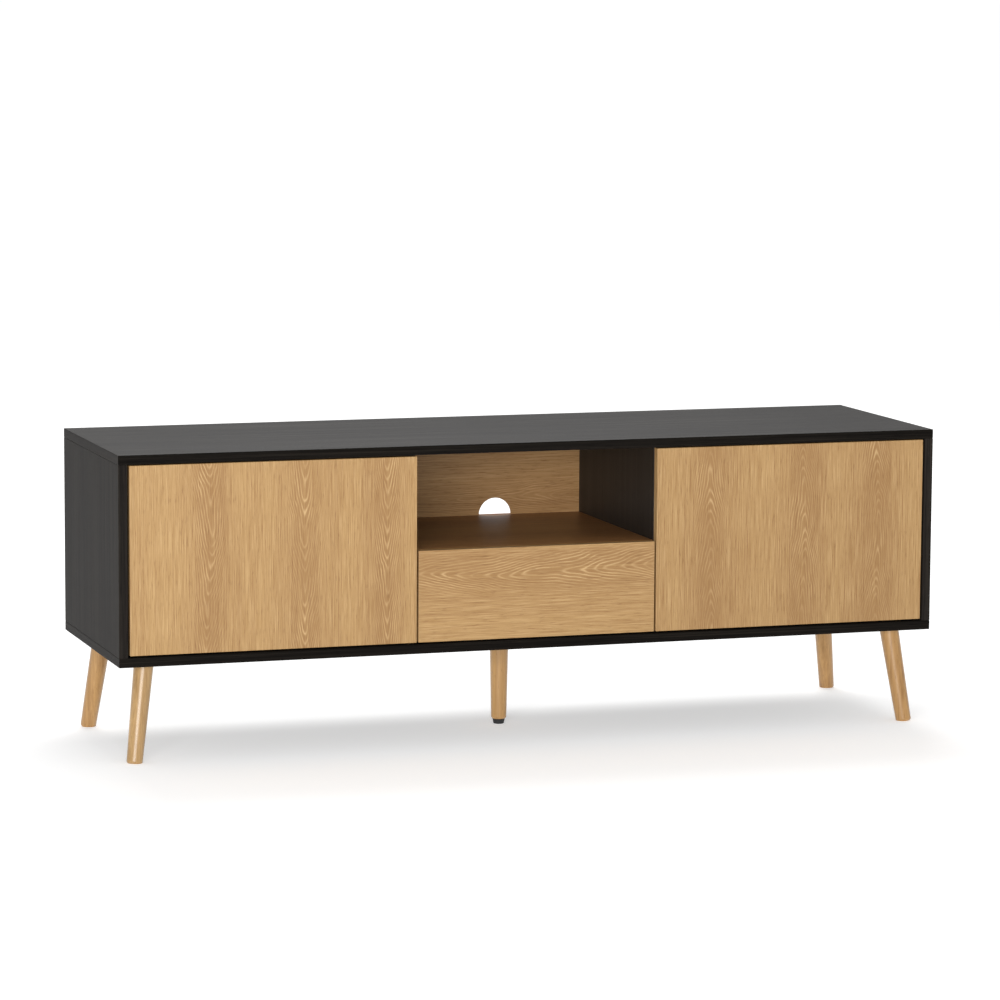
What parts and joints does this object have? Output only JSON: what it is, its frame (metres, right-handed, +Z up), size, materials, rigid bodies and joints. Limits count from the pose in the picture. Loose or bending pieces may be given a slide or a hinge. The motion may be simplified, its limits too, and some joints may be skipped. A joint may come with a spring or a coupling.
{
  "type": "tv stand",
  "caption": "Low black TV stand on splayed turned wooden legs, with oak-look hinged doors, an open niche with a cable notch, and a drawer below it.",
  "frame": {"origin": "on the floor, under the middle of the stand", "axes": "+X to the right as seen from the front, +Y towards the wall behind, +Z up"},
  "size_m": [1.4, 0.4, 0.5],
  "materials": {
    "black_laminate": "matt black wood-grain laminate",
    "oak_laminate": "satin light oak laminate",
    "turned_wood": "clear-lacquered turned beech",
    "dowel_wood": "plain fluted beech",
    "fibreboard": "black-faced hardboard",
    "zinc_steel": "zinc-plated",
    "nickel_steel": "nickel-plated",
    "black_plastic": "moulded black plastic"
  },
  "bodies": {
    "cabinet": {"top_panel": "black_laminate", "bottom_panel": "black_laminate", "left_side_panel": "black_laminate", "right_side_panel": "black_laminate", "left_divider": "black_laminate", "right_divider": "black_laminate", "centre_shelf": "oak_laminate", "niche_back_panel": "oak_laminate", "drawer_bay_back_panel": "fibreboard", "left_back_panel": "fibreboard", "right_back_panel": "fibreboard", "cam_locks": "zinc_steel", "cam_bolts": "zinc_steel", "wooden_dowels": "dowel_wood", "front_left_leg": "turned_wood", "front_right_leg": "turned_wood", "back_left_leg": "turned_wood", "back_right_leg": "turned_wood", "centre_leg": "turned_wood", "corner_leg_plates": "zinc_steel", "centre_leg_plate": "zinc_steel", "leg_bolts": "zinc_steel", "leg_plate_screws": "zinc_steel", "hinge_plates": "nickel_steel", "left_hinge_arms": "nickel_steel", "right_hinge_arms": "nickel_steel", "hinge_pins": "nickel_steel", "fitting_screws": "zinc_steel", "left_slide_rail": "zinc_steel", "right_slide_rail": "zinc_steel", "latch_housings": "black_plastic", "latch_springs": "zinc_steel"},
    "left_door": {"left_door": "oak_laminate", "left_hinge_cups": "nickel_steel", "left_cup_screws": "zinc_steel", "left_strike_plate": "zinc_steel"},
    "right_door": {"right_door": "oak_laminate", "right_hinge_cups": "nickel_steel", "right_cup_screws": "zinc_steel", "right_strike_plate": "zinc_steel"},
    "left_hinge_links": {"left_hinge_links": "nickel_steel"},
    "right_hinge_links": {"right_hinge_links": "nickel_steel"},
    "drawer": {"drawer_front": "oak_laminate", "drawer_left_side": "black_laminate", "drawer_right_side": "black_laminate", "drawer_back": "black_laminate", "drawer_bottom": "fibreboard", "drawer_cam_locks": "zinc_steel", "drawer_cam_bolts": "zinc_steel", "drawer_back_screws": "zinc_steel", "drawer_strike_plate": "zinc_steel", "left_slide_runner": "zinc_steel", "right_slide_runner": "zinc_steel", "runner_screws": "zinc_steel"},
    "slide_middles": {"left_slide_middle": "zinc_steel", "right_slide_middle": "zinc_steel"},
    "centre_foot": {"centre_foot": "black_plastic"},
    "left_latch_plunger": {"left_latch_plunger": "black_plastic"},
    "right_latch_plunger": {"right_latch_plunger": "black_plastic"},
    "drawer_latch_plunger": {"drawer_latch_plunger": "black_plastic"}
  },
  "joints": [
    {"name": "left_door_hinge", "type": "hinge", "parent": "cabinet", "child": "left_door", "pos_m": [-0.682, -0.2, 0.33], "axis": [0, 0, -1], "range_deg": [0, 95]},
    {"name": "right_door_hinge", "type": "hinge", "parent": "cabinet", "child": "right_door", "pos_m": [0.682, -0.2, 0.33], "axis": [0, 0, 1], "range_deg": [0, 95]},
    {"name": "left_link_turn", "type": "hinge", "parent": "cabinet", "child": "left_hinge_links", "pos_m": [-0.679, -0.18, 0.33], "axis": [0, 0, -1], "range_deg": [0, 62]},
    {"name": "right_link_turn", "type": "hinge", "parent": "cabinet", "child": "right_hinge_links", "pos_m": [0.679, -0.18, 0.33], "axis": [0, 0, 1], "range_deg": [0, 62]},
    {"name": "drawer_slide", "type": "slide", "parent": "cabinet", "child": "drawer", "axis": [0, -1, 0], "range_m": [0, 0.35]},
    {"name": "slide_middle_travel", "type": "slide", "parent": "cabinet", "child": "slide_middles", "axis": [0, -1, 0], "range_m": [0, 0.175]},
    {"name": "centre_foot_screw", "type": "slide", "parent": "cabinet", "child": "centre_foot", "axis": [0, 0, -1], "range_m": [0, 0.01]},
    {"name": "left_plunger_travel", "type": "slide", "parent": "cabinet", "child": "left_latch_plunger", "axis": [0, -1, 0], "range_m": [0, 0.01]},
    {"name": "right_plunger_travel", "type": "slide", "parent": "cabinet", "child": "right_latch_plunger", "axis": [0, -1, 0], "range_m": [0, 0.01]},
    {"name": "drawer_plunger_travel", "type": "slide", "parent": "cabinet", "child": "drawer_latch_plunger", "axis": [0, -1, 0], "range_m": [0, 0.01]}
  ],
  "couplings": [
    {"joint": "left_link_turn", "follows": "left_door_hinge", "ratio": 0.65},
    {"joint": "right_link_turn", "follows": "right_door_hinge", "ratio": 0.65},
    {"joint": "slide_middle_travel", "follows": "drawer_slide", "ratio": 0.5},
    {"joint": "left_plunger_travel", "follows": "left_door_hinge", "m_per_rad": 0.006},
    {"joint": "right_plunger_travel", "follows": "right_door_hinge", "m_per_rad": 0.006},
    {"joint": "drawer_plunger_travel", "follows": "drawer_slide", "ratio": 0.028}
  ]
}
